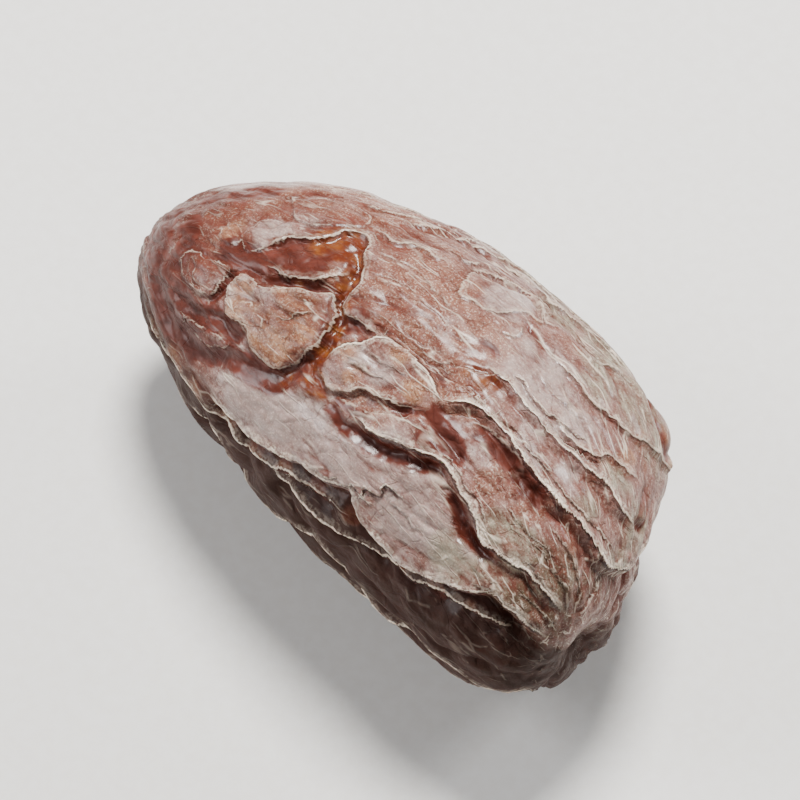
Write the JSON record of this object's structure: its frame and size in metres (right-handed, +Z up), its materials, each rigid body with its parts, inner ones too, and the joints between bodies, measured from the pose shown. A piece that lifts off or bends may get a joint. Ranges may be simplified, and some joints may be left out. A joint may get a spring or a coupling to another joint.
{
  "type": "medjool date",
  "caption": "Dried date, a plump oblong fruit with long wavy skin folds, tapering to its apex and drawn in at the stem scar; it lies on a small settled flat spot.",
  "frame": {"origin": "under the middle of the date's bounding box, on the surface that it lies on", "axes": "+X from the apex to the stem end, +Y to the bulged side, +Z up"},
  "size_m": [0.0481, 0.0262, 0.0244],
  "materials": {
    "date_skin": "wrinkled skin with a dry pale bloom on its plateaus, and glossy red-brown to amber flesh showing in its creases"
  },
  "bodies": {
    "root": {"date": "date_skin"}
  },
  "joints": []
}
